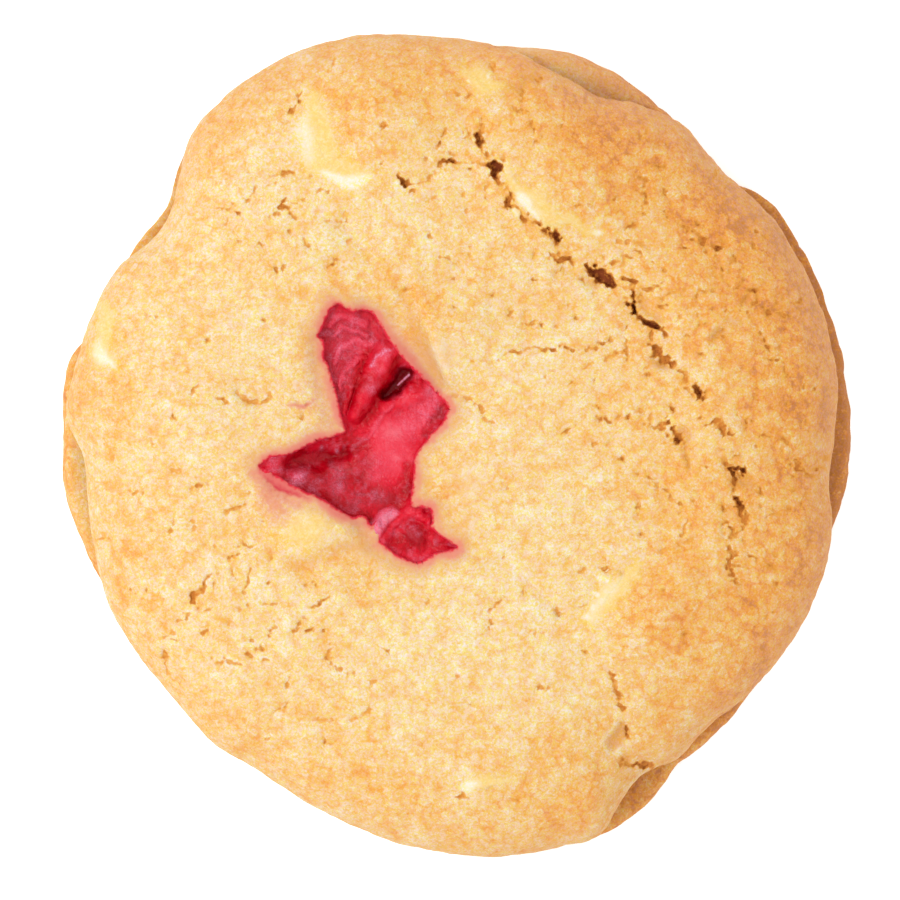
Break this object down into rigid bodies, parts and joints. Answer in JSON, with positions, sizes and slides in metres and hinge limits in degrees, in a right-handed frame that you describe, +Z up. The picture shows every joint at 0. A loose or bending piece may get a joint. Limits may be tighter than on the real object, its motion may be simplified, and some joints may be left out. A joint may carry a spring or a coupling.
{
  "type": "raspberry cookie",
  "caption": "Round soft-baked cookie with a cracked golden crust, raspberry in a torn opening near its middle and white chocolate chunks at its surface.",
  "frame": {"origin": "centre of the flat underside", "axes": "+Z up out of the crust; +X to the right and +Y away from the viewer when the cookie is seen from above"},
  "size_m": [0.079, 0.0823, 0.0166],
  "materials": {
    "baked_dough": "matte crumbly crust, browner towards the rim",
    "raspberry": "wet, glossy and translucent",
    "white_chocolate": "smooth satin, melted and set"
  },
  "bodies": {
    "root": {"cookie_dough": "baked_dough", "raspberry_upper": "raspberry", "raspberry_middle": "raspberry", "raspberry_tip": "raspberry", "white_chocolate_upper_left": "white_chocolate", "white_chocolate_upper_right": "white_chocolate", "white_chocolate_lower_right": "white_chocolate", "white_chocolate_left_rim": "white_chocolate", "white_chocolate_beside_berry": "white_chocolate", "white_chocolate_lower_rim": "white_chocolate", "white_chocolate_top_rim": "white_chocolate"}
  },
  "joints": []
}
